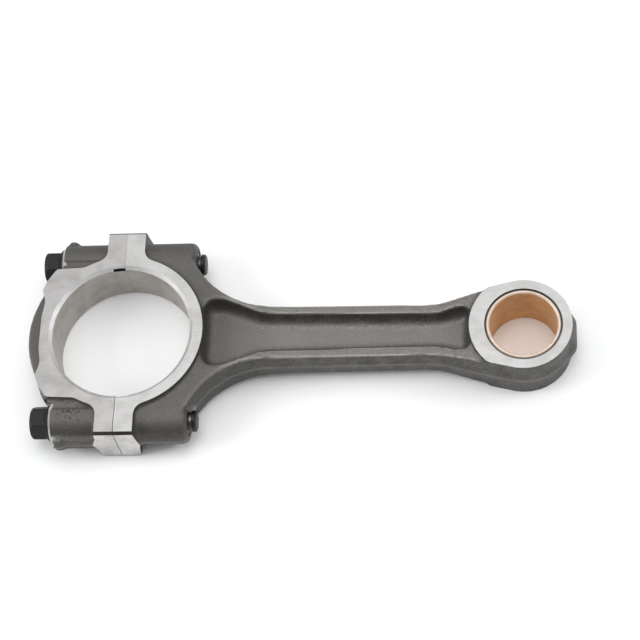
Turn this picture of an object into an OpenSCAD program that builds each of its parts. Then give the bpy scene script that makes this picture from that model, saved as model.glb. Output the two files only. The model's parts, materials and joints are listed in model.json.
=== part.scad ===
// Forged connecting rod with a bolted bearing cap, for a medium-duty engine.
// Origin: centre of the big-end bore, halfway through its width.
// +X points to the small end, +Z lies along both bores, +Y runs towards the upper bolt.
// The rod lies flat on its machined faces. Unscrewing both bolts draws the cap off along -X.

/* [Main sizes] */
// Distance between the centres of the two bores
centre_distance = 210; // [190:1:240]
// Width of both ends, from machined face to machined face
end_width = 30; // [28:0.5:36]
// Bore of the big end, which the bearing shells are fitted into
big_bore_d = 73; // [70:0.5:74]
// Bore of the small-end bush, which the piston pin turns in
pin_bore_d = 35; // [30:0.5:35]
// Wall of the small-end bush
bush_wall = 2; // [1.5:0.1:2.5]

/* [Big end] */
// Radius of the machined ring round the big-end bore
ring_r = 43.5; // [42.5:0.5:44]
// Chamfer at the mouths of the big-end bore
bore_chamfer = 1.8; // [0.5:0.1:2.5]
// Half the length of the machined ears that meet at the joint
ear_half_length = 10; // [8:0.5:12]
// Distance from the bore centre to the outer side of the ears
ear_reach = 58.5; // [58:0.25:60]
// Chamfer along the outer edges of the ears
ear_chamfer = 1.5; // [0.5:0.1:2]
// Outer radius of the cap's back
cap_back_r = 50.5; // [48:0.5:52]
// Thickness of the rib round the cap's back
cap_rib_width = 20; // [16:1:24]

/* [Cap bolts] */
// Distance from the bore centre to each bolt's axis
bolt_offset = 45.5; // [45:0.25:46.5]
// Thread diameter of the bolts
bolt_d = 12; // [11:0.5:12]
// Lead of the bolt thread, which is what one turn moves the cap
thread_pitch = 1.25; // [1:0.25:1.75]
// Across flats of the hexagon head
head_across_flats = 16; // [14:0.5:16]
// Diameter of the flange under the head
flange_d = 19; // [18.6:0.2:20.4]
// Length of the head with its flange
head_length = 11; // [8:0.5:12]
// Radius of the forged bosses round the bolts
boss_r = 11.8; // [11.4:0.1:12.5]
// Distance from the joint to the bolt seats on the cap
cap_seat_x = 35.5; // [34:0.5:38]
// Distance from the joint to the end of the rod's bolt bosses
rod_boss_x = 37; // [36:0.5:40]
// How far the bolt ends stand out of the rod's bosses
tip_reach = 4; // [2:0.5:8]

/* [Beam] */
// Half the height of the beam where it leaves the big end
beam_half_start = 16.2; // [15:0.1:18]
// Half the height of the beam where it meets the small end
beam_half_end = 15; // [14:0.1:16.2]
// Thickness of the beam over its two flanges
beam_width = 20; // [18:0.5:24]
// Thickness of the web between the two pockets
web_width = 6; // [5:0.5:10]
// Width of each flange, seen from the side
flange_width = 5.8; // [4:0.1:7]
// Radius of the shoulders between the beam and the bolt bosses
shoulder_r = 45; // [42:1:48]

/* [Small end] */
// Outer radius of the eye
eye_r = 25; // [24:0.5:27]
// Radius of the machined face where it meets the beam
eye_face_r = 28; // [27.5:0.5:30]
// How far the balance pad stands out of the eye
pad_reach = 2.3; // [1:0.1:4]
// Chamfer at the mouths of the bore that holds the bush
housing_chamfer = 0.6; // [0.3:0.1:1]

/* [Hidden] */
$fn = 96;

half_width = end_width / 2;
bore_r = big_bore_d / 2;
bush_r = pin_bore_d / 2 + bush_wall;
bolt_r = bolt_d / 2;
through = end_width + 20;
forging_steel = [0.36, 0.35, 0.34];

// How far the forged skin lies below the machined faces
skin_step = 2;
// How far the ears and the boss webs reach past the bore wall, so that the bore is cut clean
bore_overlap = 2;
// Room that the spot faces leave round the bolts' flanges
spot_clearance = 1.2;
// Half the angle of the cap's back that is left as forged, and the angle where the side pads end
back_angle = 29;
pad_angle = 46;

// Running clearances of the bolts, and the depth of the counterbore at the joint
thread_clearance = 0.05;
shank_clearance = 0.35;
counterbore_r = bolt_r + 0.5;
counterbore_depth = 8;
// Depth of the thread's counterbore in the rod's bosses
mouth_depth = 1.5;
// Room past the bolts' ends, clear of the beam's shoulders
tip_room = 6;
// Bolt details
flange_height = 1.8;
shank_r = bolt_r - 0.75;
fit_band_r = bolt_r - 0.1;
fit_band_half = 6;
turned_step = 0.6;
head_cone_length = 3;
head_cone_depth = 2.4;
thread_depth = 0.61 * thread_pitch;
point_r = bolt_r - thread_depth - 0.15;
point_length = 2;
thread_start = counterbore_depth + 1;
tip_x = rod_boss_x + tip_reach;

// Beam: the shoulder arc touches the beam at shoulder_x, and the flare touches the eye
shoulder_x = 78;
flare_slope = 14;
flare_x = centre_distance - 45;
pocket_start = ring_r + 0.3;
pocket_end = centre_distance - eye_face_r - 0.3;
pocket_flare_start = 8;
pocket_flare_end = 2.4;

// Points on an arc about (x, y), from angle a to angle b
function arc(x, y, r, a, b, steps = 12) =
    [for (i = [0 : steps]) [x + r * cos(a + (b - a) * i / steps), y + r * sin(a + (b - a) * i / steps)]];

// The points again, in reverse order and on the other side of the X axis
function mirrored(points) = [for (i = [len(points) - 1 : -1 : 0]) [points[i].x, -points[i].y]];

// Half the height of the beam's straight stretch at x
function beam_half(x) =
    beam_half_start + (beam_half_end - beam_half_start) * (x - shoulder_x) / (flare_x - shoulder_x);

// Upper side of the beam in plan: shoulder arc, straight taper, flare into the eye
function beam_side() = concat(
    [[0, bolt_offset], [rod_boss_x - 1, bolt_offset]],
    arc(shoulder_x, beam_half_start + shoulder_r, shoulder_r, -150, -90, 16),
    [[flare_x, beam_half_end]],
    arc(centre_distance, 0, eye_r, 90 + flare_slope, 90, 4)
);

// Half thickness of the forging along its length, seen from the side
function skin_profile() = let (near = half_width - skin_step, mid = beam_width / 2) [
    [0, near], [ring_r + 6, near], [shoulder_x + 10, mid], [flare_x, mid], [centre_distance, near]
];

// Outline of a pocket: flared and rounded at both ends
function pocket_side() = let (
    start_r = 6,
    end_r = 4,
    start_half = beam_half(pocket_start + start_r) - flange_width + pocket_flare_start,
    end_half = beam_half(pocket_end) - flange_width + pocket_flare_end,
    throat = beam_half_start - flange_width
) concat(
    arc(pocket_start + start_r, start_half - start_r, start_r, 180, 75, 8),
    [[shoulder_x - start_r, throat + 0.3], [shoulder_x + end_r, throat]],
    [[flare_x, beam_half_end - flange_width]],
    arc(pocket_end - end_r, end_half - end_r, end_r, 95, 0, 6)
);

// Both bolts, or both bolt bosses: the child at each side of the bore
module at_both_bolts() {
    for (side = [-1, 1])
        translate([0, side * bolt_offset, 0]) children();
}

// A round bar along X from x0 to x1
module x_bar(r, x0, x1) {
    translate([x0, 0, 0]) rotate([0, 90, 0]) cylinder(r = r, h = x1 - x0);
}

// The machined ears and ring of one half of the big end; side is 1 on the rod and -1 on the cap
module machined_half(side) {
    intersection() {
        cylinder(r = ring_r, h = end_width, center = true);
        half_space(side);
    }
    x0 = side > 0 ? 0 : -ear_half_length;
    inner = bore_r + bore_overlap;
    c = ear_chamfer;
    translate([x0, 0, 0]) rotate([90, 0, 90])
        linear_extrude(ear_half_length)
            for (s = [-1, 1])
                polygon([
                    [s * inner, half_width], [s * (ear_reach - c), half_width],
                    [s * ear_reach, half_width - c], [s * ear_reach, c - half_width],
                    [s * (ear_reach - c), -half_width], [s * inner, -half_width]
                ]);
}

// Everything on one side of the joint face
module half_space(side) {
    span = 2 * centre_distance;
    translate([side * span / 2, 0, 0]) cube([span, span, through], center = true);
}

// A bore of radius r about Z, right through, with a chamfer at both mouths
module chamfered_bore(r, chamfer) {
    mouth = r + chamfer;
    rotate_extrude()
        polygon([
            [0, -through / 2], [mouth, -through / 2], [mouth, -half_width],
            [r, chamfer - half_width], [r, half_width - chamfer],
            [mouth, half_width], [mouth, through / 2], [0, through / 2]
        ]);
}

// The big-end bore, cut through both halves as one
module big_bore() {
    chamfered_bore(bore_r, bore_chamfer);
}

// Slot in the bore wall for a bearing shell's tang; side is 1 on the rod and -1 on the cap
module tang_slot(side) {
    slot_length = 5.5;
    slot_width = 2.2;
    slot_depth = 1.4;
    from_face = 1.4;
    lead_in = 2;
    slot_y = bore_r + (slot_depth - lead_in) / 2;
    translate([side * slot_length / 2, -side * slot_y, half_width - from_face])
        cube([slot_length, slot_depth + lead_in, slot_width], center = true);
}

module rod_body() {
    color(forging_steel)
    difference() {
        union() {
            machined_half(1);
            at_both_bolts() x_bar(boss_r, 0, rod_boss_x);
            intersection() {
                linear_extrude(end_width, center = true)
                    polygon(concat(beam_side(), mirrored(beam_side())));
                rotate([90, 0, 0]) linear_extrude(3 * ear_reach, center = true)
                    polygon(concat(skin_profile(), mirrored(skin_profile())));
            }
            eye();
        }
        big_bore();
        tang_slot(1);
        translate([centre_distance, 0, 0]) chamfered_bore(bush_r, housing_chamfer);
        for (side = [-1, 1])
            pocket(side);
        at_both_bolts() {
            x_bar(bolt_r + thread_clearance, -1, rod_boss_x + 1);
            x_bar(counterbore_r, -1, counterbore_depth);
            x_bar(counterbore_r, rod_boss_x - mouth_depth, tip_x + tip_room);
        }
    }
}

// The eye at the small end, with its wider machined face towards the beam and its balance pad
module eye() {
    pad_half_length = 9;
    pad_width = 14;
    translate([centre_distance, 0, 0]) {
        cylinder(r = eye_r, h = end_width, center = true);
        translate([eye_r / 2, 0, 0])
            cube([eye_r + 2 * pad_reach, 2 * pad_half_length, pad_width], center = true);
    }
    intersection() {
        translate([centre_distance, 0, 0]) cylinder(r = eye_face_r, h = end_width, center = true);
        linear_extrude(end_width, center = true)
            polygon(concat(beam_side(), mirrored(beam_side())));
    }
}

// One of the two pockets that leave the web between them
module pocket(side) {
    depth = half_width - web_width / 2;
    translate([0, 0, side > 0 ? web_width / 2 : -half_width])
        linear_extrude(depth)
            polygon(concat(pocket_side(), mirrored(pocket_side())));
}

// Part of the cap's back between two angles, measured from -X, on both sides of the X axis
module back_sector(r, width, from_angle, to_angle) {
    linear_extrude(width, center = true)
        for (s = [-1, 1])
            polygon(concat([[0, 0]], arc(0, 0, r, 180 - s * from_angle, 180 - s * to_angle, 12)));
}

// Raised pad on the outer side of each cap boss, where the forging is clamped for machining
module clamp_pads() {
    pad_length = 7;
    pad_height = 1.2;
    pad_width = 12;
    pad_root = 6;
    pad_x = -cap_seat_x + 1 + pad_length / 2;
    for (s = [-1, 1])
        translate([pad_x, s * (ear_reach + pad_height - (pad_root + pad_height) / 2), 0])
            cube([pad_length, pad_root + pad_height, pad_width], center = true);
}

module bearing_cap() {
    color(forging_steel)
    difference() {
        union() {
            machined_half(-1);
            at_both_bolts() x_bar(boss_r, -cap_seat_x, 0);
            clamp_pads();
            back_sector(cap_back_r, cap_rib_width, 0, back_angle);
            back_sector(cap_back_r + 0.8, end_width, back_angle, pad_angle);
            boss_webs();
        }
        big_bore();
        tang_slot(-1);
        at_both_bolts() {
            x_bar(bolt_r + shank_clearance, -cap_seat_x - 1, 1);
            x_bar(flange_d / 2 + spot_clearance, -cap_seat_x - cap_back_r, -cap_seat_x);
        }
    }
}

// Forged metal that fills the corner between each bolt boss and the back of the cap
module boss_webs() {
    web_half = half_width - skin_step;
    inner_y = bore_r - bore_overlap;
    for (s = [-1, 1])
        linear_extrude(2 * web_half, center = true)
            polygon([
                [0, s * bore_r], [0, s * bolt_offset], [-cap_seat_x, s * bolt_offset],
                [-cap_seat_x, s * inner_y]
            ]);
}

module small_end_bush() {
    lip = 0.6;
    inner = pin_bore_d / 2;
    color([0.72, 0.53, 0.36])
    translate([centre_distance, 0, 0])
        rotate_extrude()
            polygon([
                [inner, lip - half_width], [inner + lip, -half_width],
                [bush_r - lip, -half_width], [bush_r, lip - half_width],
                [bush_r, half_width - lip], [bush_r - lip, half_width],
                [inner + lip, half_width], [inner, half_width - lip]
            ]);
}

// Profile of the bolt's shank and thread about its axis: radius and place along the bolt
function bolt_profile() = concat(
    [[0, -cap_seat_x - 1], [shank_r, -cap_seat_x - 1]],
    [[shank_r, -fit_band_half], [fit_band_r, turned_step - fit_band_half]],
    [[fit_band_r, fit_band_half - turned_step], [shank_r, fit_band_half], [shank_r, thread_start]],
    [for (i = [0 : floor((tip_x - point_length - thread_start) / thread_pitch) - 1], k = [0 : 1])
        [bolt_r - (k == 0 ? 0 : thread_depth),
         thread_start + turned_step / 2 + (i + k / 2) * thread_pitch]],
    [[point_r, tip_x - point_length], [point_r, tip_x - turned_step]],
    [[point_r - turned_step, tip_x], [0, tip_x]]
);

// One cap bolt, lying along X with its head at the cap
module cap_bolt() {
    seat = -cap_seat_x;
    hexagon_r = head_across_flats / 2 / cos(30);
    color([0.11, 0.11, 0.12]) {
        rotate([0, 90, 0]) rotate_extrude() polygon(bolt_profile());
        x_bar(flange_d / 2, seat - flange_height, seat);
        intersection() {
            translate([seat - head_length, 0, 0]) rotate([0, 90, 0])
                cylinder(r = hexagon_r, h = head_length, $fn = 6);
            translate([seat, 0, 0]) rotate([0, -90, 0]) rotate_extrude()
                polygon([
                    [0, 0], [hexagon_r + 1, 0], [hexagon_r + 1, head_length - head_cone_length],
                    [hexagon_r - head_cone_depth, head_length], [0, head_length]
                ]);
        }
    }
}

module upper_cap_bolt() {
    translate([0, bolt_offset, 0]) cap_bolt();
}

module lower_cap_bolt() {
    translate([0, -bolt_offset, 0]) cap_bolt();
}

rod_body();
bearing_cap();
small_end_bush();
upper_cap_bolt();
lower_cap_bolt();
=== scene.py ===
# %% [markdown]
# # A forged connecting rod, made the way the real one is made
#
# A connecting rod starts as a hot forging with rounded, slightly tapered sides. Only the faces
# that touch something are then machined: both sides, both bores, the bolt seats. That split
# between a dark skin and bright cut metal is most of what the eye sees, so this script works in
# the same order. It builds a blank with stock left on, rounds it like a forging, and then cuts it.

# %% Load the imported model
import json
import math

import bmesh
import bpy
from mathutils import Matrix, Vector, noise


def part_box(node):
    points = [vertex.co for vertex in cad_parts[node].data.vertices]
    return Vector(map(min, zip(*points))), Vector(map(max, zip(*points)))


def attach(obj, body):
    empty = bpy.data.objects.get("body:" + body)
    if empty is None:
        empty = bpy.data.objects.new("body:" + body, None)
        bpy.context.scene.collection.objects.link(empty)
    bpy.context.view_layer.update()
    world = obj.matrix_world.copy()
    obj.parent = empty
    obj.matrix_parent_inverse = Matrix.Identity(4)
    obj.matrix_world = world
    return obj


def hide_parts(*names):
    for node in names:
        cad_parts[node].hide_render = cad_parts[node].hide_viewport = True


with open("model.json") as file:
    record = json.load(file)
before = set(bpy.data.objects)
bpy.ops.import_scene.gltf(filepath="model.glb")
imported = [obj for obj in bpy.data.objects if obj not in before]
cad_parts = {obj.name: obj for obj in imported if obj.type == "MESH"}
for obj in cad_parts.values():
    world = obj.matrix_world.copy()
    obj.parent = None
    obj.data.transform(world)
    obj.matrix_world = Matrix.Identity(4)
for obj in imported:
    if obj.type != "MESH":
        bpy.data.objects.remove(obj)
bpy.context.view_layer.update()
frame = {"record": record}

# %% [markdown]
# ## Sizes
#
# Every length below is in millimetres, because that is how a machinist thinks, and each mesh is
# scaled to metres once, when it becomes an object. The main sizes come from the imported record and
# from the boxes of the CAD nodes, so the looks follow the design if it changes.

# %% Sizes from the frame
MM = 0.001
mounts = {mount["name"]: mount for mount in frame["record"]["mounts"]}
joints = {joint["name"]: joint for joint in frame["record"]["behaviour"]["joints"]}


def node_box(node):
    """Lowest and highest corner of a CAD node, in millimetres."""
    return [[value / MM for value in corner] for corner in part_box(node)]


BORE_R = mounts["big_end_bore"]["dims"]["r_mm"]
PIN_R = mounts["piston_pin_bore"]["dims"]["r_mm"]
CENTRES = mounts["piston_pin_bore"]["pos_m"][0] / MM
HALF = node_box("small_end_bush")[1][2]
BUSH_R = node_box("small_end_bush")[1][1]
BOLT_Y = joints["upper_bolt_turn"]["pos_m"][1] / MM
SEAT_X = joints["upper_bolt_turn"]["pos_m"][0] / MM
HEAD_X, TIP_X = (corner[0] for corner in node_box("upper_cap_bolt"))
FLANGE_R = node_box("upper_cap_bolt")[1][2]
EAR_Y = node_box("rod_body")[1][1]
PAD_X = node_box("rod_body")[1][0]
CLAMP_Y = node_box("bearing_cap")[1][1]
BACK_X = -node_box("bearing_cap")[0][0]
print("bores", BORE_R, PIN_R, "centres", CENTRES, "bolts at", BOLT_Y, "seat at", SEAT_X)

# %% [markdown]
# ## Camera, floor and light
#
# The rod lies on a pale table and is looked down on from a long way off with a long lens, which
# keeps both bores nearly the same shape. Polished metal has no colour of its own: it shows the
# room. So the light is four soft panels over a pale floor, with darker gaps between them
# that give the ground faces and the bolt heads something to reflect.

# %% Camera
camera_data = bpy.data.cameras.new("camera")
camera_data.lens = 114.7
camera_data.sensor_width = 36.0
camera = bpy.data.objects.new("camera", camera_data)
camera.location = (0.2151, -0.4539, 0.9619)
camera.rotation_euler = (math.radians(25.843), math.radians(5.833), math.radians(1.663))
bpy.context.scene.collection.objects.link(camera)
bpy.context.scene.camera = camera
bpy.context.scene.view_settings.view_transform = "Standard"


# %% Colours and node helpers
def linear(code):
    """An sRGB hex colour as linear RGBA, which is what shader sockets hold."""
    parts = [int(code[i : i + 2], 16) / 255 for i in (1, 3, 5)]
    return [p / 12.92 if p <= 0.04045 else ((p + 0.055) / 1.055) ** 2.4 for p in parts] + [1.0]


def add(tree, kind, inputs=None, **settings):
    """Adds a node. inputs maps a socket to a value, or to another node's output to link."""
    node = tree.nodes.new(kind)
    for name, value in settings.items():
        setattr(node, name, value)
    for socket, value in (inputs or {}).items():
        if isinstance(value, bpy.types.NodeSocket):
            tree.links.new(value, node.inputs[socket])
        else:
            node.inputs[socket].default_value = value
    return node


# %% Floor and light panels
FLOOR_SIZE = 6.0
FLOOR_COLOUR = "#fafafa"


def plain_floor():
    """A large pale table top, level with the lowest machined face."""
    bm = bmesh.new()
    bmesh.ops.create_grid(bm, x_segments=1, y_segments=1, size=FLOOR_SIZE / 2)
    bmesh.ops.translate(bm, verts=bm.verts, vec=(0, 0, -HALF * MM))
    mesh = bpy.data.meshes.new("table_top")
    bm.to_mesh(mesh)
    bm.free()
    floor = bpy.data.objects.new("table_top", mesh)
    bpy.context.scene.collection.objects.link(floor)
    paint = bpy.data.materials.new("matt white table")
    paint.use_nodes = True
    shader = paint.node_tree.nodes["Principled BSDF"]
    shader.inputs["Base Color"].default_value = linear(FLOOR_COLOUR)
    shader.inputs["Roughness"].default_value = 0.9
    mesh.materials.append(paint)


def light_panel(name, place, size, power):
    """A square soft box that points at the middle of the rod."""
    data = bpy.data.lights.new(name, "AREA")
    data.size = size
    data.energy = power
    panel = bpy.data.objects.new(name, data)
    panel.location = place
    aim = Vector((CENTRES / 2 * MM, 0, 0)) - Vector(place)
    panel.rotation_euler = aim.to_track_quat("-Z", "Y").to_euler()
    bpy.context.scene.collection.objects.link(panel)


plain_floor()
light_panel("overhead panel", (0.10, 0.90, 1.70), 2.4, 14)
light_panel("top panel", (0.10, -0.10, 1.90), 1.0, 10)
light_panel("left panel", (-1.30, -0.20, 0.90), 0.8, 11)
light_panel("right panel", (1.40, 0.20, 1.00), 0.7, 8)
world = bpy.data.worlds.new("pale room")
world.use_nodes = True
world.node_tree.nodes["Background"].inputs["Color"].default_value = linear("#f2f4f6")
world.node_tree.nodes["Background"].inputs["Strength"].default_value = 0.45
bpy.context.scene.world = world

# %% [markdown]
# ## Drawing outlines
#
# Dies and cutters are drawn in plan first. An outline is a short list of corners, each with the
# radius that rounds it, and `rounded` puts an arc at each corner. A curve object could do the same,
# but corners with radii are what a drawing gives, and they stay easy to read.


# %% Outline helpers
def arc(x, y, r, start, end, steps=16):
    """Points along an arc, angles in degrees."""
    angles = [math.radians(start + (end - start) * i / steps) for i in range(steps + 1)]
    return [(x + r * math.cos(a), y + r * math.sin(a)) for a in angles]


def rounded(corners, steps=8):
    """An outline from (x, y, radius) corners, each one rounded by an arc."""
    outline = []
    for i, (x, y, r) in enumerate(corners):
        here = Vector((x, y))
        back = (Vector(corners[i - 1][:2]) - here).normalized()
        ahead = (Vector(corners[(i + 1) % len(corners)][:2]) - here).normalized()
        half = back.angle(ahead) / 2
        if r == 0:
            outline.append((x, y))
            continue
        first = here + back * (r / math.tan(half))
        centre = here + (back + ahead).normalized() * (r / math.sin(half))
        turn = math.copysign(math.pi - 2 * half, back.cross(ahead))
        for k in range(steps + 1):
            spoke = Matrix.Rotation(-turn * k / steps, 2) @ (first - centre)
            outline.append(tuple(centre + spoke))
    return outline


def both_sides(upper):
    """Closes an upper half outline with its mirror image below the X axis."""
    return upper + [(x, -y, *rest) for x, y, *rest in reversed(upper)]


# %% [markdown]
# ## Dies, stock and cutters
#
# Three helpers make every solid here. `forged` is a half die: it draws the outline at the parting
# plane and insets it as it rises, which gives the draft that lets a forging leave its die, and
# then mirrors it. `block` is a plain extrusion and `turned` spins a profile, as a lathe does.

# %% Solid helpers
DRAFT = 3.0


def new_object(bm, name):
    """Turns a bmesh in millimetres into an object in metres, with its faces pointing outwards."""
    bmesh.ops.remove_doubles(bm, verts=bm.verts, dist=0.0001)
    bmesh.ops.recalc_face_normals(bm, faces=bm.faces)
    bmesh.ops.scale(bm, verts=bm.verts, vec=(MM, MM, MM))
    mesh = bpy.data.meshes.new(name)
    bm.to_mesh(mesh)
    bm.free()
    piece = bpy.data.objects.new(name, mesh)
    bpy.context.scene.collection.objects.link(piece)
    return piece


def flat_face(bm, outline, z=0.0, up=1):
    """One face with the given outline, which looks up, or down where up is -1."""
    face = bm.faces.new([bm.verts.new((x, y, z)) for x, y in outline])
    face.normal_update()
    if face.normal.z * up < 0:
        face.normal_flip()
    return face


def forged(name, outline, half, draft=DRAFT, skin=None, stations=()):
    """A block with draft on both sides of the parting plane. skin(x) can lower its two faces."""
    bm = bmesh.new()
    face = flat_face(bm, outline)
    taper = half * math.tan(math.radians(draft))
    bmesh.ops.inset_region(
        bm, faces=[face], thickness=taper, depth=half, use_even_offset=True, use_boundary=True
    )
    for x in stations:
        geometry = bm.verts[:] + bm.edges[:] + bm.faces[:]
        bmesh.ops.bisect_plane(bm, geom=geometry, plane_co=(x, 0, 0), plane_no=(1, 0, 0))
    if skin:
        for vert in bm.verts:
            vert.co.z *= skin(vert.co.x) / half
    geometry = bm.verts[:] + bm.edges[:] + bm.faces[:]
    bmesh.ops.mirror(bm, geom=geometry, axis="Z", merge_dist=0.001)
    return new_object(bm, name)


def block(name, outline, low, high, lengthwise=False):
    """An outline extruded from low to high along Z, or along X when it is drawn in Y and Z."""
    bm = bmesh.new()
    face = flat_face(bm, outline, low)
    grown = bmesh.ops.extrude_face_region(bm, geom=[face])["geom"]
    top = [part for part in grown if isinstance(part, bmesh.types.BMVert)]
    bmesh.ops.translate(bm, verts=top, vec=(0, 0, high - low))
    if lengthwise:
        turn = Matrix(((0, 0, 1), (1, 0, 0), (0, 1, 0)))
        bmesh.ops.rotate(bm, verts=bm.verts, cent=(0, 0, 0), matrix=turn)
    return new_object(bm, name)


def turned(name, profile, centre=(0, 0, 0), lengthwise=False, steps=96):
    """A closed profile of (radius, height) points spun about Z, or about X for a lengthwise one."""
    bm = bmesh.new()
    verts = [bm.verts.new((r, 0, h)) for r, h in profile]
    edges = [bm.edges.new((a, b)) for a, b in zip(verts, verts[1:] + verts[:1])]
    bmesh.ops.spin(
        bm, geom=verts + edges, cent=(0, 0, 0), axis=(0, 0, 1),
        angle=math.tau, steps=steps, use_merge=True,
    )
    bmesh.ops.remove_doubles(bm, verts=bm.verts, dist=0.0001)
    loose = [edge for edge in bm.edges if not edge.link_faces]
    bmesh.ops.delete(bm, geom=loose, context="EDGES")
    if lengthwise:
        turn = Matrix(((0, 0, 1), (0, 1, 0), (-1, 0, 0)))
        bmesh.ops.rotate(bm, verts=bm.verts, cent=(0, 0, 0), matrix=turn)
    bmesh.ops.translate(bm, verts=bm.verts, vec=centre)
    return new_object(bm, name)


# %% Fusing and cutting helpers
def settle(piece):
    """Applies a piece's modifiers."""
    graph = bpy.context.evaluated_depsgraph_get()
    mesh = bpy.data.meshes.new_from_object(piece.evaluated_get(graph))
    piece.modifiers.clear()
    piece.data = mesh


def combine(piece, tool, operation, solver="MANIFOLD"):
    """Boolean with a tool, which is used up. Cut faces take the tool's material."""
    cut = piece.modifiers.new("cut", "BOOLEAN")
    cut.operation = operation
    cut.solver = solver
    cut.material_mode = "TRANSFER"
    cut.object = tool
    settle(piece)
    bpy.data.objects.remove(tool)


def fused(name, parts):
    """Closed blocks gathered into one mesh. They may run into each other."""
    bm = bmesh.new()
    for part in parts:
        bm.from_mesh(part.data)
        bpy.data.objects.remove(part)
    mesh = bpy.data.meshes.new(name)
    bm.to_mesh(mesh)
    bm.free()
    piece = bpy.data.objects.new(name, mesh)
    bpy.context.scene.collection.objects.link(piece)
    return piece


# %% [markdown]
# ## Forging fillets
#
# A forging has no sharp inside corner, because hot steel will not flow into one. Bevels on so many
# crossing edges would tangle, so the skin is made the way a sculptor would: a voxel remesh melts
# the overlapping blocks into one skin, and a few passes of smoothing round every edge alike.

# %% Forging skin helper
VOXEL = 0.9
SMOOTHING = 6
LAND_HALF = 1.6
LAND_RISE = 0.12


def melt(piece):
    """Remeshes a gathered blank into one closed skin with rounded edges."""
    remesh = piece.modifiers.new("skin", "REMESH")
    remesh.mode = "VOXEL"
    remesh.voxel_size = VOXEL * MM
    smooth = piece.modifiers.new("fillets", "SMOOTH")
    smooth.factor = 0.5
    smooth.iterations = SMOOTHING
    settle(piece)
    return piece


def raise_parting_land(piece):
    """The dies meet at mid-height, where the trimmed flash leaves a narrow raised band."""
    for vert in piece.data.vertices:
        height = abs(vert.co.z) / MM / LAND_HALF
        if height < 1 and abs(vert.normal.z) < 0.35:
            outwards = Vector((vert.normal.x, vert.normal.y, 0)).normalized()
            vert.co += outwards * LAND_RISE * MM * min(1, 3 * (1 - height))


# %% [markdown]
# ## The rod's blank
#
# The long half is a beam with a web, two shoulders that spread round the big end, a pair of bolt
# bosses and the eye. Each one is a die shape of its own and the melt joins them. Where a face will
# be machined the blank stands proud of it, so that the cutter meets clean metal everywhere.

# %% Ring, ears and bosses
STOCK = 3.0
RING_DRAFT = 5.0
RING_R = 43.5
EAR_X = 10.0
EAR_FILLET = 5.0
SKIN_RISE = HALF * math.tan(math.radians(RING_DRAFT))
BOSS_R = 11.8
ROD_BOSS_X = 37.0


def ring_outline(side):
    """Upper half of the ring and its ear at the parting plane. side is 1 on the rod."""
    ring_r = RING_R + SKIN_RISE
    ear_x = EAR_X + SKIN_RISE
    centre_x = ear_x + EAR_FILLET
    centre_y = math.sqrt((ring_r + EAR_FILLET) ** 2 - centre_x**2)
    meets = math.degrees(math.atan2(centre_y, centre_x))
    ear = [(-STOCK, EAR_Y + STOCK), (ear_x, EAR_Y + STOCK)]
    fillet = arc(centre_x, centre_y, EAR_FILLET, 180, 180 + meets, 6)
    ring = arc(0, 0, ring_r, meets, 0, 20)[1:]
    return [(side * x, y) for x, y in ear + fillet + ring]


def boss(name, y, low, high, corner):
    """Round forged boss about a bolt, along X, with its free end rounded off."""
    rim = arc(BOSS_R - corner, high - corner, corner, 0, 90, 6)
    profile = [(0, low), (BOSS_R, low)] + rim + [(0, high)]
    return turned(name, profile, centre=(0, y, 0), lengthwise=True, steps=48)


# %% Beam, shoulders and eye
SHOULDER_R = 45.0
BEAM_HALF_START = 16.2
BEAM_HALF_END = 15.0
BEAM_TOP = 10.0
FLARE_X = CENTRES - 45
FLARE_FOOT = (203.7, 25.2)
EYE_R = 25.0
EYE_FACE_R = 28.0
EYE_RISE = HALF * math.tan(math.radians(DRAFT))


def skin_height(x):
    """Half the thickness of the forging along its length."""
    stations = [
        (-5, 11.9), (40, 12.3), (50, 12.6), (88, BEAM_TOP), (FLARE_X, BEAM_TOP), (186, 13.4), (250, 13.6),
    ]
    for (x0, h0), (x1, h1) in zip(stations, stations[1:]):
        if x <= x1:
            return h0 + (h1 - h0) * max(0, x - x0) / (x1 - x0)
    return stations[-1][1]


def beam_blank():
    """The I-beam before its pockets, with the shoulders and the flare into the eye."""
    side = [
        (-STOCK, BOLT_Y + 0.5, 0), (34.8, BOLT_Y + 0.5, 0), (52, BEAM_HALF_START, SHOULDER_R),
        (FLARE_X, BEAM_HALF_END, 60), (*FLARE_FOOT, 6), (CENTRES, 20, 0),
    ]
    stations = (40, 50, 58, 66, 74, 82, 88, FLARE_X, 172, 180, 188, 200)
    outline = rounded(both_sides(side), steps=14)
    return forged("beam", outline, HALF, skin=skin_height, stations=stations)


def eye_blank():
    """The eye, its wider face towards the beam, and the balance pad that is ground to weight."""
    ring = forged("eye", arc(CENTRES, 0, EYE_R + EYE_RISE, 0, 354, 59), HALF + STOCK)
    reach = EYE_FACE_R + EYE_RISE
    corner = math.radians(130.2)
    meets = (CENTRES + reach * math.cos(corner), reach * math.sin(corner))
    flare = arc(CENTRES, 0, EYE_R + EYE_RISE, 98, 104, 2) + [meets]
    curve = arc(CENTRES, 0, reach, 133, 227, 24)
    outline = [(215, 24)] + flare + curve + [(x, -y) for x, y in flare[::-1]] + [(215, -24)]
    face = forged("face", outline, HALF + STOCK)
    pad_side = [(CENTRES, 16, 0), (231.5, 14, 5), (PAD_X + 0.1, 9.5, 7)]
    pad = forged("pad", rounded(both_sides(pad_side)), 8.5, draft=14)
    return [ring, face, pad]


# %% Pockets of the I-beam
POCKET_DRAFT = 13.0
WEB_HALF = 3.0
FLANGE = 5.8
POCKET_START = 43.4
POCKET_END = 181.9


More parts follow.
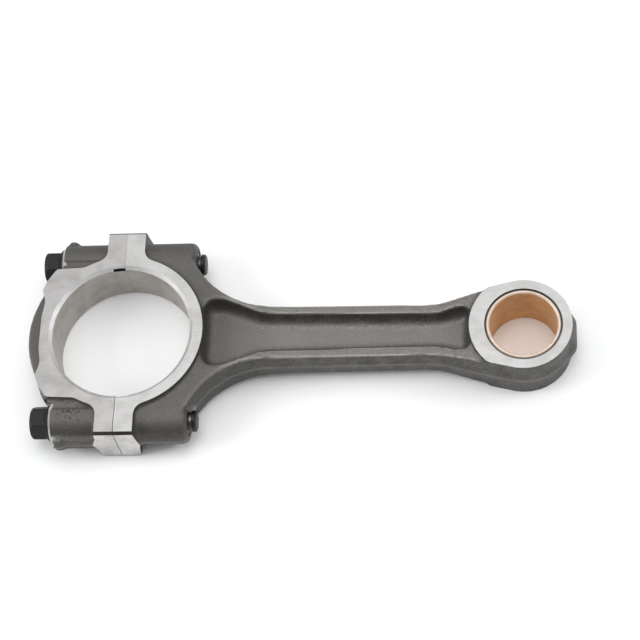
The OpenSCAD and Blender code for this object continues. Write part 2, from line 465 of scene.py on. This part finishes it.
def pocket_plug(side_of_web):
    """The die's raised plug, which leaves the web, with a wide radius round its foot."""
    top = HALF + 1
    grow = (top - BEAM_TOP) * math.tan(math.radians(POCKET_DRAFT))
    side = [
        (POCKET_START - grow, 18.6 + grow, 7), (54, 18.4 + grow, 12),
        (74, BEAM_HALF_START - FLANGE + 0.3 + grow, 26), (FLARE_X, BEAM_HALF_END - FLANGE + grow, 40),
        (174, 11.6 + grow, 8), (POCKET_END + grow, 11.8 + grow, 5),
    ]
    bm = bmesh.new()
    face = flat_face(bm, rounded(both_sides(side)), top, up=-1)
    depth = top - WEB_HALF
    bmesh.ops.inset_region(
        bm, faces=[face], thickness=depth * math.tan(math.radians(POCKET_DRAFT)), depth=depth,
        use_even_offset=True, use_boundary=True,
    )
    bmesh.ops.bevel(
        bm, geom=face.edges[:], offset=4.0, affect="EDGES", segments=5, profile=0.5, material=-1,
    )
    mouth = [edge for edge in bm.edges if edge.is_boundary]
    bmesh.ops.holes_fill(bm, edges=mouth, sides=0)
    bmesh.ops.scale(bm, verts=bm.verts, vec=(1, 1, side_of_web))
    return new_object(bm, "pocket")


# %% Melting the rod's blank
def carve_pockets(beam):
    """Presses a pocket into both faces of the beam."""
    for side_of_web in (1, -1):
        combine(beam, pocket_plug(side_of_web), "DIFFERENCE", solver="EXACT")
    return beam


rod_parts = [carve_pockets(beam_blank()), *eye_blank()]
rod_parts.append(forged("ring", both_sides(ring_outline(1)), HALF + STOCK, draft=RING_DRAFT))
for side in (1, -1):
    rod_parts.append(boss("boss", side * BOLT_Y, -STOCK, ROD_BOSS_X, 3.5))
rod = melt(fused("rod_forging", rod_parts))
raise_parting_land(rod)
print("rod blank:", len(rod.data.polygons), "faces")

# %% [markdown]
# ## The cap's blank
#
# The cap carries the same ring and ears on its side of the joint. Behind them the machined face
# widens towards the bolt seats, and a rib runs round the back at mid-height. A small pad on each
# flank is where the forging was clamped for its first cut, and the lower flank has a flat behind it.

# %% Cap blank
RIB_HALF = 10.0
RIB_DRAFT = 1.5
PAD_HALF = 6.5
PAD_DROP = 0.5
FLAT_HALF = 6.0
WEB_DRAFT = 14.0
WEB_TOP = 12.8


def cap_face_outline():
    """Half outline of the cap's thick part: ring, straight run to the seat, and rounded back."""
    rise = SKIN_RISE
    ring = [point for point in ring_outline(-1) if point[1] > 36.9 + rise]
    back = [
        (SEAT_X - 2.0, 36.9 + rise, 0), (-41.0 - rise, 30.5 + rise / 2, 8),
        (-43.6 - rise, 24.5, 4), (-41.4 - rise, 18.0, 6), (-42.8 - rise, 9.0, 30),
    ]
    return both_sides([(x, y, 0) for x, y in ring] + back)


def cap_blank():
    """All the die shapes of the cap."""
    parts = [forged("ring", rounded(cap_face_outline()), HALF + STOCK, draft=RING_DRAFT)]
    rib_r = BACK_X - 0.2
    rib = [(-20, -24)] + [(-20, 24)] + arc(0, 0, rib_r, 151, 209, 20)
    parts.append(forged("rib", rib, RIB_HALF + 0.2, draft=RIB_DRAFT))
    web = [(STOCK, 30), (STOCK, BOLT_Y), (SEAT_X - 2, BOLT_Y), (SEAT_X - 2, 35), (-43.5, 28), (-30, 20)]
    for side in (1, -1):
        outline = [(x, side * y) for x, y in web]
        parts.append(forged("web", outline, WEB_TOP, draft=WEB_DRAFT))
        parts.append(boss("boss", side * BOLT_Y, SEAT_X - STOCK, STOCK, 0.5))
        top = CLAMP_Y if side < 0 else CLAMP_Y - PAD_DROP
        pad = [(-34.5, 50, 0), (-34.5, top, 1.2), (-28.5, top, 1.2), (-25, 50, 0)]
        parts.append(forged("pad", [(x, side * y) for x, y in rounded(pad)], PAD_HALF, draft=10))
    flat = [(-30, -48), (-30, -58.4), (-4, -58.4), (-4, -48)]
    parts.append(forged("flat", flat, FLAT_HALF, draft=4))
    return parts


cap = melt(fused("cap_forging", cap_blank()))
raise_parting_land(cap)
print("cap blank:", len(cap.data.polygons), "faces")

# %% [markdown]
# ## Materials
#
# Most of the steels here are one alloy, and they differ only in how the surface was made. Every pattern is
# laid out in millimetres through Object coordinates, so it stays the right size on each piece.
# `grain` is one noise texture at a given size; stretched along an axis it becomes tool marks.


# %% Pattern helpers
def per_mm(size):
    """Noise scale that gives features of about this size in millimetres."""
    return 1 / (size * MM)


def grain(tree, size, stretch=(1, 1, 1), detail=3.0):
    """Noise with features of a given size in mm. stretch above 1 lengthens them along an axis."""
    place = add(tree, "ShaderNodeTexCoord").outputs["Object"]
    squeeze = [1 / factor for factor in stretch]
    spread = add(tree, "ShaderNodeMapping", {"Vector": place, "Scale": squeeze}).outputs["Vector"]
    noise_inputs = {"Vector": spread, "Scale": per_mm(size), "Detail": detail, "Roughness": 0.55}
    return add(tree, "ShaderNodeTexNoise", noise_inputs).outputs["Fac"]


def spread_over(tree, value, low, high, to_low=0.0, to_high=1.0):
    """Maps a value from one range to another, and clamps it."""
    inputs = {"Value": value, 1: low, 2: high, 3: to_low, 4: to_high}
    return add(tree, "ShaderNodeMapRange", inputs).outputs["Result"]


def blend_colours(tree, factor, first, second, mode="MIX"):
    """Mixes two colours, given as hex codes or as outputs of other nodes."""
    colours = [linear(c) if isinstance(c, str) else c for c in (first, second)]
    inputs = {0: factor, 6: colours[0], 7: colours[1]}
    return add(tree, "ShaderNodeMix", inputs, data_type="RGBA", blend_type=mode).outputs[2]


def new_material(name, metallic, roughness):
    """A material with its shader, ready for its pattern."""
    material = bpy.data.materials.new(name)
    material.use_nodes = True
    shader = material.node_tree.nodes["Principled BSDF"]
    shader.inputs["Metallic"].default_value = metallic
    if isinstance(roughness, float):
        shader.inputs["Roughness"].default_value = roughness
    return material, material.node_tree, shader


def bump(tree, shader, height, depth):
    """Raises the surface by up to depth millimetres where height is 1."""
    inputs = {"Height": height, "Distance": depth * MM, "Strength": 1.0}
    tree.links.new(add(tree, "ShaderNodeBump", inputs).outputs["Normal"], shader.inputs["Normal"])


# %% Shot-blasted forging skin
SHOT_MM = 0.6
SCALE_MM = 7.0
SKIN_DARK = "#454341"
SKIN_MID = "#5b5956"
SKIN_PALE = "#9d9a96"
SKIN_PIT = "#2f2d2b"
SKIN_TOP_PAINTED_LIGHT = "#817e7b"
SKIN_EDGE_WEAR_AND_HIGHLIGHT = "#cdc9c4"
SKIN_SCALE = "#484643"
SCALE_FULL_X = 45
SCALE_GONE_X = 85
LAND_COLOUR = "#8f8b86"
RUST = "#2a1a14"
RUST_MM = 1.5


def forging_skin(name, rust_at=None):
    """Forged steel cleaned by shot: dull grey dents, with level faces painted paler as painted light from
    above.

    Convex edges are painted bright, partly as wear and partly as a painted highlight, and the heavy big
    end keeps more of its dark scale.
    """
    material, tree, shader = new_material(name, 0.55, None)
    patches = grain(tree, SCALE_MM, detail=4.0)
    dents = grain(tree, SHOT_MM, detail=2.0)
    colour = blend_colours(tree, spread_over(tree, patches, 0.35, 0.65), SKIN_DARK, SKIN_MID)
    coordinates = add(tree, "ShaderNodeTexCoord")
    # Level faces are painted paler: painted light from above.
    tilt = add(tree, "ShaderNodeSeparateXYZ", {"Vector": coordinates.outputs["Normal"]}).outputs["Z"]
    level = add(tree, "ShaderNodeMath", {0: tilt}, operation="ABSOLUTE").outputs[0]
    colour = blend_colours(tree, spread_over(tree, level, 0.70, 1.0, 0, 0.7), colour, SKIN_TOP_PAINTED_LIGHT)
    colour = blend_colours(tree, spread_over(tree, dents, 0.55, 0.74, 0, 0.5), colour, SKIN_PALE)
    colour = blend_colours(tree, spread_over(tree, dents, 0.44, 0.28, 0, 0.4), colour, SKIN_PIT)
    # Convex edges are painted paler: partly wear, partly a painted highlight.
    crest = add(tree, "ShaderNodeNewGeometry").outputs["Pointiness"]
    colour = blend_colours(tree, spread_over(tree, crest, 0.515, 0.57, 0, 0.7), colour, SKIN_EDGE_WEAR_AND_HIGHLIGHT)
    place = coordinates.outputs["Object"]
    position = add(tree, "ShaderNodeSeparateXYZ", {"Vector": place})
    scale_left = spread_over(tree, position.outputs["X"], SCALE_FULL_X * MM, SCALE_GONE_X * MM, 0.6, 0.0)
    colour = blend_colours(tree, scale_left, colour, SKIN_SCALE)
    off_centre = add(tree, "ShaderNodeMath", {0: position.outputs["Z"]}, operation="ABSOLUTE").outputs[0]
    land = spread_over(tree, off_centre, (LAND_HALF - 0.5) * MM, LAND_HALF * MM, 0.25, 0.0)
    colour = blend_colours(tree, land, colour, LAND_COLOUR)
    if rust_at:
        inputs = {0: place, 1: [v * MM for v in rust_at]}
        near = add(tree, "ShaderNodeVectorMath", inputs, operation="DISTANCE")
        spot = spread_over(tree, near.outputs["Value"], 3 * MM, 10 * MM, 0.9, 0.0)
        specks = spread_over(tree, grain(tree, RUST_MM, detail=5.0), 0.54, 0.62)
        rust = add(tree, "ShaderNodeMath", {0: spot, 1: specks}, operation="MULTIPLY").outputs[0]
        colour = blend_colours(tree, rust, colour, RUST)
    tree.links.new(colour, shader.inputs["Base Color"])
    tree.links.new(spread_over(tree, dents, 0.3, 0.7, 0.62, 0.44), shader.inputs["Roughness"])
    bump(tree, shader, dents, 0.15)
    return material


# %% Ground, bored and broken steel
GRIND_MM = 0.3


def ground_steel(name, colour, stretch, roughness=(0.34, 0.46), depth=0.006, blotch="#b3b1af"):
    """Bright steel with the fine lines that a tool or a grinding wheel leaves along one way."""
    material, tree, shader = new_material(name, 1.0, None)
    lines = grain(tree, GRIND_MM, stretch=stretch, detail=2.0)
    clouds = grain(tree, 9.0, detail=3.0)
    shade = blend_colours(tree, spread_over(tree, clouds, 0.42, 0.68, 0, 0.75), colour, blotch)
    shade = blend_colours(tree, spread_over(tree, lines, 0.45, 0.68, 0, 0.22), shade, "#8d8b89")
    tree.links.new(shade, shader.inputs["Base Color"])
    tree.links.new(spread_over(tree, lines, 0.3, 0.7, *roughness), shader.inputs["Roughness"])
    bump(tree, shader, lines, depth)
    return material


def fracture_steel():
    """The joint is cracked open, not sawn, so its faces are a dull grey of torn crystals."""
    material, tree, shader = new_material("fracture-split steel", 0.7, None)
    crystals = grain(tree, 0.45, detail=5.0)
    tree.links.new(blend_colours(tree, crystals, "#55524f", "#a9a6a3"), shader.inputs["Base Color"])
    tree.links.new(spread_over(tree, crystals, 0.3, 0.7, 0.75, 0.45), shader.inputs["Roughness"])
    bump(tree, shader, crystals, 0.25)
    return material


# The cap's ground face is painted a little darker than the rod's, and the mouths of the big bore were
# deburred by hand; their chamfers are painted pale as a painted highlight. The dark chamfers, grooves
# and slots are painted dark as painted shade.
SKIN = forging_skin("shot-blasted forged steel")
CAP_SKIN = forging_skin("shot-blasted forged steel with rust spots", rust_at=(-24, -44, 11))
FACE = ground_steel("ground steel face", "#bfbebd", (30, 1, 1), blotch="#acaaa8")
CAP_FACE = ground_steel("ground steel face of the cap", "#b2b0af", (30, 1, 1), blotch="#9a9896")
FLANK = ground_steel("milled steel flank", "#d4d2d0", (1, 1, 24), blotch="#b0aeac")
MOUTH_HIGHLIGHT = ground_steel("deburred steel edge with painted highlight", "#e6e5e4", (20, 20, 1), roughness=(0.5, 0.6), blotch="#d4d3d2")
PAINTED_SHADE_STEEL = ground_steel("steel groove with painted shade", "#4a4745", (20, 20, 1), blotch="#3a3836")
WALL = ground_steel("bored steel wall", "#b0aca7", (40, 40, 1), depth=0.02, blotch="#96918a")
TORN = fracture_steel()
print("steels:", [m.name for m in (SKIN, CAP_SKIN, FACE, CAP_FACE, FLANK, WALL, TORN)])


# %% Bronze, black oxide and rolled thread
def bush_bronze(name, colour, shade):
    """Tin bronze, bored to size, so fine rings run round the wall."""
    material, tree, shader = new_material(name, 0.4, None)
    rings = grain(tree, 0.45, stretch=(40, 40, 1), detail=2.0)
    clouds = grain(tree, 6.0, detail=3.0)
    tint = blend_colours(tree, spread_over(tree, clouds, 0.35, 0.7), colour, shade)
    tree.links.new(tint, shader.inputs["Base Color"])
    tree.links.new(spread_over(tree, rings, 0.3, 0.7, 0.42, 0.56), shader.inputs["Roughness"])
    bump(tree, shader, rings, 0.012)
    return material


def black_oxide():
    """Heat-treated bolt steel with a thin black oxide: dark, slightly oily, browner where it wore."""
    material, tree, shader = new_material("black oxide bolt steel", 0.2, None)
    mottle = grain(tree, 1.1, detail=4.0)
    tint = blend_colours(tree, spread_over(tree, mottle, 0.4, 0.72), "#080808", "#171716")
    tree.links.new(tint, shader.inputs["Base Color"])
    tree.links.new(spread_over(tree, mottle, 0.3, 0.7, 0.36, 0.58), shader.inputs["Roughness"])
    bump(tree, shader, mottle, 0.03)
    return material


BRONZE = bush_bronze("bored bronze", "#d6aa76", "#c79965")
LIP_HIGHLIGHT = bush_bronze("turned bronze lip with painted highlight", "#e0cfc1", "#d2bfae")
OXIDE = black_oxide()
THREAD = ground_steel(
    "rolled thread steel", "#74716e", (1, 20, 20), roughness=(0.3, 0.45), blotch="#4d4b49"
)


# %% [markdown]
# ## Machining
#
# Now the stock comes off in the order of a real shop: the sides, the ears, the bolt seats, the two
# bores, the tang slots, and last the fracture that splits the big end. Each cutter is the shape a
# real tool leaves, and it carries its own finish. Blender's boolean hands the cutter's material to
# the faces it cuts, so a ground face ends exactly where the skin begins and no mask is painted.
# Both halves get the same wavy fracture surface from one function: on the real rod it is one crack.


# %% Cutter helpers
def finish_with(piece, material, other=None, where=None):
    """Gives a piece its material, and another one to the faces that the test picks."""
    piece.data.materials.clear()
    piece.data.materials.append(material)
    if other:
        piece.data.materials.append(other)
        for face in piece.data.polygons:
            face.material_index = int(where(face))
    return piece


def machine(piece, cutters, operation="DIFFERENCE"):
    """Takes each cutter to the piece in turn."""
    for cutter in cutters:
        combine(piece, cutter, operation)


def side_stock(material):
    """What is kept between the two ground sides."""
    reach = CENTRES + 60
    outline = [(-CLAMP_Y, -HALF), (CLAMP_Y, -HALF), (CLAMP_Y, HALF), (-CLAMP_Y, HALF)]
    return finish_with(block("sides", outline, -reach, reach, lengthwise=True), material)


def ear_cutter(side):
    """Mills the outer side of an ear, with a chamfer along both edges."""
    chamfer, deep, reach = 1.5, HALF + 8, EAR_Y + 12
    upper = [(EAR_Y, HALF - chamfer), (EAR_Y - chamfer, HALF), (EAR_Y - chamfer, deep), (reach, deep)]
    outline = [(side * y, z) for y, z in upper] + [(side * y, -z) for y, z in reversed(upper)]
    cutter = block("ear", outline, -18, 18, lengthwise=True)
    # The chamfers take a dark steel: painted shade.
    return finish_with(cutter, FLANK, PAINTED_SHADE_STEEL, lambda face: 0.3 < abs(face.normal.z) < 0.9)


def bore_cutter(name, x, r, chamfer, wall, mouth):
    """A boring bar's path through both sides, with a chamfer at each mouth."""
    over = HALF + 5
    upper = [(r, HALF - chamfer), (r + chamfer, HALF), (r + chamfer, over), (0, over)]
    profile = upper + [(radius, -z) for radius, z in reversed(upper)]
    cutter = turned(name, profile, centre=(x, 0, 0), steps=192)
    return finish_with(cutter, wall, mouth, lambda face: abs(face.normal.z) > 0.1)


def tang_cutter(side):
    """A slot in the wall by the joint, where a bearing shell's tang stops it from turning."""
    length, width, depth, from_face = 5.5, 1.8, 1.4, 1.9
    low, high = sorted((0, side * length))
    z = HALF - from_face
    y0, y1 = (-side * y for y in (BORE_R - 2, BORE_R + depth))
    outline = [(y0, z - width / 2), (y1, z - width / 2), (y1, z + width / 2), (y0, z + width / 2)]
    # The slot is painted dark: painted shade in the recess.
    return finish_with(block("tang", outline, low - 1, high + 1, lengthwise=True), PAINTED_SHADE_STEEL)


def bar_cutter(name, y, profile, material=None, steps=72):
    """A drill or a spot-face tool on a bolt's axis, from a profile of (radius, x) points."""
    cutter = turned(name, profile, centre=(0, y, 0), lengthwise=True, steps=steps)
    return finish_with(cutter, material or WALL)


def seat_cutter(side):
    """Mills the flat that a bolt's head bears on, straight across the end of a cap boss."""
    corners = [(SEAT_X, SEAT_INNER_Y), (SEAT_X, EAR_Y + 8), (-70, EAR_Y + 8), (-70, SEAT_INNER_Y)]
    outline = [(x, side * y) for x, y in corners]
    return finish_with(block("seat", outline, -HALF - 5, HALF + 5), FLANK)


# %% The fracture surface
JOINT_WAVE = 0.28
GAP_UPPER = 0.02
GAP_LOWER = 0.17


def joint_cutter(side):
    """Takes away everything past the joint. side is 1 for the rod, whose metal lies at +X."""
    bm = bmesh.new()
    bmesh.ops.create_grid(bm, x_segments=36, y_segments=126, size=1)
    bmesh.ops.scale(bm, verts=bm.verts, vec=(HALF + 3, EAR_Y + 4, 1))
    upright = Matrix.Rotation(math.pi / 2, 3, "Y")
    bmesh.ops.rotate(bm, verts=bm.verts, cent=(0, 0, 0), matrix=upright)
    for vert in bm.verts:
        slow = noise.noise(vert.co / 7)
        quick = noise.noise(vert.co / 1.6)
        lower = min(1, max(0, (EAR_Y - vert.co.y) / (2 * EAR_Y)))
        gap = GAP_UPPER + (GAP_LOWER - GAP_UPPER) * lower
        vert.co.x = JOINT_WAVE * (slow + 0.35 * quick) + side * gap
    grown = bmesh.ops.extrude_face_region(bm, geom=bm.faces[:])["geom"]
    far = [part for part in grown if isinstance(part, bmesh.types.BMVert)]
    for vert in far:
        vert.co.x = -side * 12
    return finish_with(new_object(bm, "fracture"), TORN)


# %% Machining the rod
ROD_SEAT_X = 35.4
TIP_R = 5.6
HOLE_R = 6.05
COUNTERBORE_R = 6.5
BUSH_CHAMFER = 0.6
MOUTH_CHAMFER = 1.8
ROD_HOLE = [(0, -5), (COUNTERBORE_R, -5), (COUNTERBORE_R, 8), (HOLE_R, 8.6), (HOLE_R, 45), (0, 45)]
ROD_SEAT = [(0, ROD_SEAT_X), (8.4, ROD_SEAT_X), (8.4, 46), (0, 46)]

finish_with(rod, SKIN)
machine(rod, [side_stock(FACE)], "INTERSECT")
for side in (1, -1):
    y = side * BOLT_Y
    machine(rod, [
        ear_cutter(side),
        bar_cutter("hole", y, ROD_HOLE),
        bar_cutter("seat", y, ROD_SEAT, FLANK),
    ])
machine(rod, [
    # The big bore's mouth chamfers are painted pale as a painted highlight.
    bore_cutter("big_bore", 0, BORE_R, MOUTH_CHAMFER, WALL, MOUTH_HIGHLIGHT),
    # The eye's mouth chamfer is painted dark as painted shade.
    bore_cutter("eye_bore", CENTRES, BUSH_R, BUSH_CHAMFER, WALL, PAINTED_SHADE_STEEL),
    tang_cutter(1),
    joint_cutter(1),
])
print("machined rod:", len(rod.data.polygons), "faces")

# %% Machining the cap
SHANK_HOLE_R = 6.35
SEAT_INNER_Y = 36.9
SEAT_R = FLANGE_R + 0.6
RIM = 1.2

finish_with(cap, CAP_SKIN)
machine(cap, [side_stock(CAP_FACE)], "INTERSECT")
for side in (1, -1):
    y = side * BOLT_Y
    rim = [(BOSS_R - RIM, SEAT_X), (BOSS_R + 2, SEAT_X + RIM + 2), (BOSS_R + 2, SEAT_X - 5)]
    machine(cap, [
        ear_cutter(side),
        bar_cutter("hole", y, [(0, -45), (SHANK_HOLE_R, -45), (SHANK_HOLE_R, 5), (0, 5)]),
        seat_cutter(side),
        bar_cutter("spot", y, [(0, SEAT_X), (0, -60), (SEAT_R, -60), (SEAT_R, SEAT_X)], FLANK),
        bar_cutter("rim", y, rim + [(BOSS_R - RIM, SEAT_X - 5)], FACE),
    ])
machine(cap, [
    # The mouth chamfers are painted pale as a painted highlight, and the tang slot is painted shade.
    bore_cutter("big_bore", 0, BORE_R, MOUTH_CHAMFER, WALL, MOUTH_HIGHLIGHT), tang_cutter(-1), joint_cutter(-1),
])
print("machined cap:", len(cap.data.polygons), "faces")


# %% Smooth shading with crisp edges
def shade(piece, angle=30):
    """Smooth shading, kept crisp where two faces meet at more than the angle."""
    piece.data.shade_smooth()
    piece.data.set_sharp_from_angle(angle=math.radians(angle))


shade(rod)
shade(cap)

# %% [markdown]
# ## Small-end bush
#
# The bush is a rolled bronze sleeve, pressed in and then bored. It is a body of revolution, so one
# profile is spun. Its chamfered ends make the thin lip, painted pale as a painted highlight, and
# the dark ring beside it, which is the eye's chamfer painted dark as painted shade.

# %% Bush
BUSH_LIP = 0.6


def pin_bush():
    """Bronze sleeve, flush with both faces of the eye."""
    upper = [
        (PIN_R, HALF - BUSH_LIP), (PIN_R + BUSH_LIP, HALF),
        (BUSH_R - BUSH_LIP - 0.1, HALF),
        (BUSH_R - 0.15, HALF - 2 * BUSH_LIP), (BUSH_R, HALF - 2.5 * BUSH_LIP),
    ]
    profile = upper + [(r, -z) for r, z in reversed(upper)]
    bush = turned("piston_pin_bush", profile, centre=(CENTRES, 0, 0), steps=192)
    # The ends and chamfers are painted pale as a painted highlight.
    finish_with(bush, BRONZE, LIP_HIGHLIGHT, lambda face: abs(face.normal.z) > 0.1)
    shade(bush)
    return bush


bush = pin_bush()

# %% [markdown]
# ## Cap bolts
#
# A cap bolt is turned, its head is forged hexagonal, and its thread is rolled. The shank is spun
# from a profile with closely spaced rings along the thread, and each point is then lowered by how
# far it stands from the crest of a helix. That gives a true thread with a run-out at both ends.

# %% Bolt sizes
PITCH = 1.25
BOLT_SHANK_R = 5.25
BAND_R = 5.9
THREAD_R = 6.0
THREAD_DEPTH = 0.61 * PITCH
THREAD_LOW = 9.0
THREAD_HIGH = 36.6
NECK_R = 4.9
POINT_X = 38.7
FLANGE_LENGTH = 1.8
HEX_FLATS = 16.0


def thread_radius(x, turn):
    """Radius of the thread at a place along the bolt and a turn about it, from 0 to 1."""
    from_crest = abs((x / PITCH - turn) % 1 - 0.5) * 2
    cut = THREAD_DEPTH * min(1, 1.25 * (1 - from_crest))
    run_out = min(1, (x - THREAD_LOW) / PITCH, (THREAD_HIGH - x) / PITCH)
    return THREAD_R - cut * max(0, run_out)


# %% Shank, thread and head
def bolt_shank(y):
    """Shank from the head to the point, with the thread cut into it."""
    rings = int((THREAD_HIGH - THREAD_LOW) / PITCH * 8)
    step = (THREAD_HIGH - THREAD_LOW) / rings
    thread = [(THREAD_R, THREAD_LOW + step * i) for i in range(rings + 1)]
    fillet_r = BOLT_SHANK_R + 0.6
    profile = [
        (0, SEAT_X - 1), (fillet_r, SEAT_X - 1), (fillet_r, SEAT_X), (BOLT_SHANK_R, SEAT_X + 0.8),
        (BOLT_SHANK_R, -6), (BAND_R, -5.4), (BAND_R, 5.4),
        (BOLT_SHANK_R, 6), (BOLT_SHANK_R, THREAD_LOW - 0.6),
    ]
    profile += thread + [
        (NECK_R, THREAD_HIGH + 0.5), (NECK_R, POINT_X - 0.3), (TIP_R, POINT_X),
        (TIP_R, TIP_X - 0.7), (TIP_R - 0.7, TIP_X), (0, TIP_X),
    ]
    shank = turned("shank", profile, lengthwise=True, steps=64)
    for vert in shank.data.vertices:
        x, radius = vert.co.x / MM, math.hypot(vert.co.y, vert.co.z) / MM
        if THREAD_LOW <= x <= THREAD_HIGH and radius > THREAD_R - 0.01:
            turn = math.atan2(vert.co.z, vert.co.y) / math.tau
            lower = thread_radius(x, turn) / radius
            vert.co.y *= lower
            vert.co.z *= lower
    shank.data.transform(Matrix.Translation((0, y * MM, 0)))
    return finish_with(
        shank, OXIDE, THREAD, lambda face: THREAD_LOW - 1 < face.center.x / MM < POINT_X - 0.1
    )


def bolt_head(y):
    """Flange and hexagon, with the round chamfer that forging leaves on the corners."""
    length = SEAT_X - HEAD_X
    bm = bmesh.new()
    corner_r = HEX_FLATS / 2 / math.cos(math.pi / 6)
    bmesh.ops.create_cone(
        bm, cap_ends=True, segments=6, radius1=corner_r, radius2=corner_r, depth=length,
    )
    upright = [edge for edge in bm.edges if abs((edge.verts[0].co - edge.verts[1].co).z) > 1]
    bmesh.ops.bevel(bm, geom=upright, offset=0.4, affect="EDGES", segments=3, profile=0.5, material=-1)
    bmesh.ops.rotate(bm, verts=bm.verts, cent=(0, 0, 0), matrix=Matrix.Rotation(math.pi / 2, 3, "Y"))
    bmesh.ops.translate(bm, verts=bm.verts, vec=((SEAT_X + HEAD_X) / 2, y, 0))
    hexagon = finish_with(new_object(bm, "hexagon"), OXIDE)
    dome = arc(corner_r - 3.6, HEAD_X + 3.6, 3.6, 0, -62, 8)
    keep = [(0, SEAT_X), (corner_r + 0.4, SEAT_X), (corner_r + 0.4, HEAD_X + 4.2)] + dome + [(0, HEAD_X)]
    machine(hexagon, [bar_cutter("dome", y, keep, OXIDE)], "INTERSECT")
    outer_x = SEAT_X - FLANGE_LENGTH
    plate = [
        (0, SEAT_X), (FLANGE_R - 0.3, SEAT_X), (FLANGE_R, SEAT_X - 0.3), (FLANGE_R, outer_x + 0.5),
        (FLANGE_R - 0.5, outer_x), (corner_r - 1.0, outer_x - 0.8), (0, outer_x - 0.8),
    ]
    return hexagon, bar_cutter("flange", y, plate, OXIDE, steps=96)


def cap_bolt(name, y):
    """One whole bolt."""
    bolt = bolt_shank(y)
    machine(bolt, bolt_head(y), "UNION")
    bolt.name = name
    shade(bolt)
    return bolt


upper_bolt = cap_bolt("upper_bolt_detail", BOLT_Y)
lower_bolt = cap_bolt("lower_bolt_detail", -BOLT_Y)
print("bolt:", len(upper_bolt.data.polygons), "faces")

# %% [markdown]
# ## Hanging the pieces on the frame
#
# Each piece rides on the body that its CAD part belongs to and takes that part's place. The cap
# slides off along its bolts in the model, and the bolts turn as it goes.

# %% Ride and replace
rod.name = "rod_forging"
cap.name = "cap_forging"
for piece, body, node, slot in (
    (rod, "rod", "rod_body", "forged_steel"),
    (bush, "rod", "small_end_bush", "bush_bronze"),
    (cap, "cap", "bearing_cap", "forged_steel"),
    (upper_bolt, "upper_bolt", "upper_cap_bolt", "black_bolt_steel"),
    (lower_bolt, "lower_bolt", "lower_cap_bolt", "black_bolt_steel"),
):
    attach(piece, body)
    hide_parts(node)
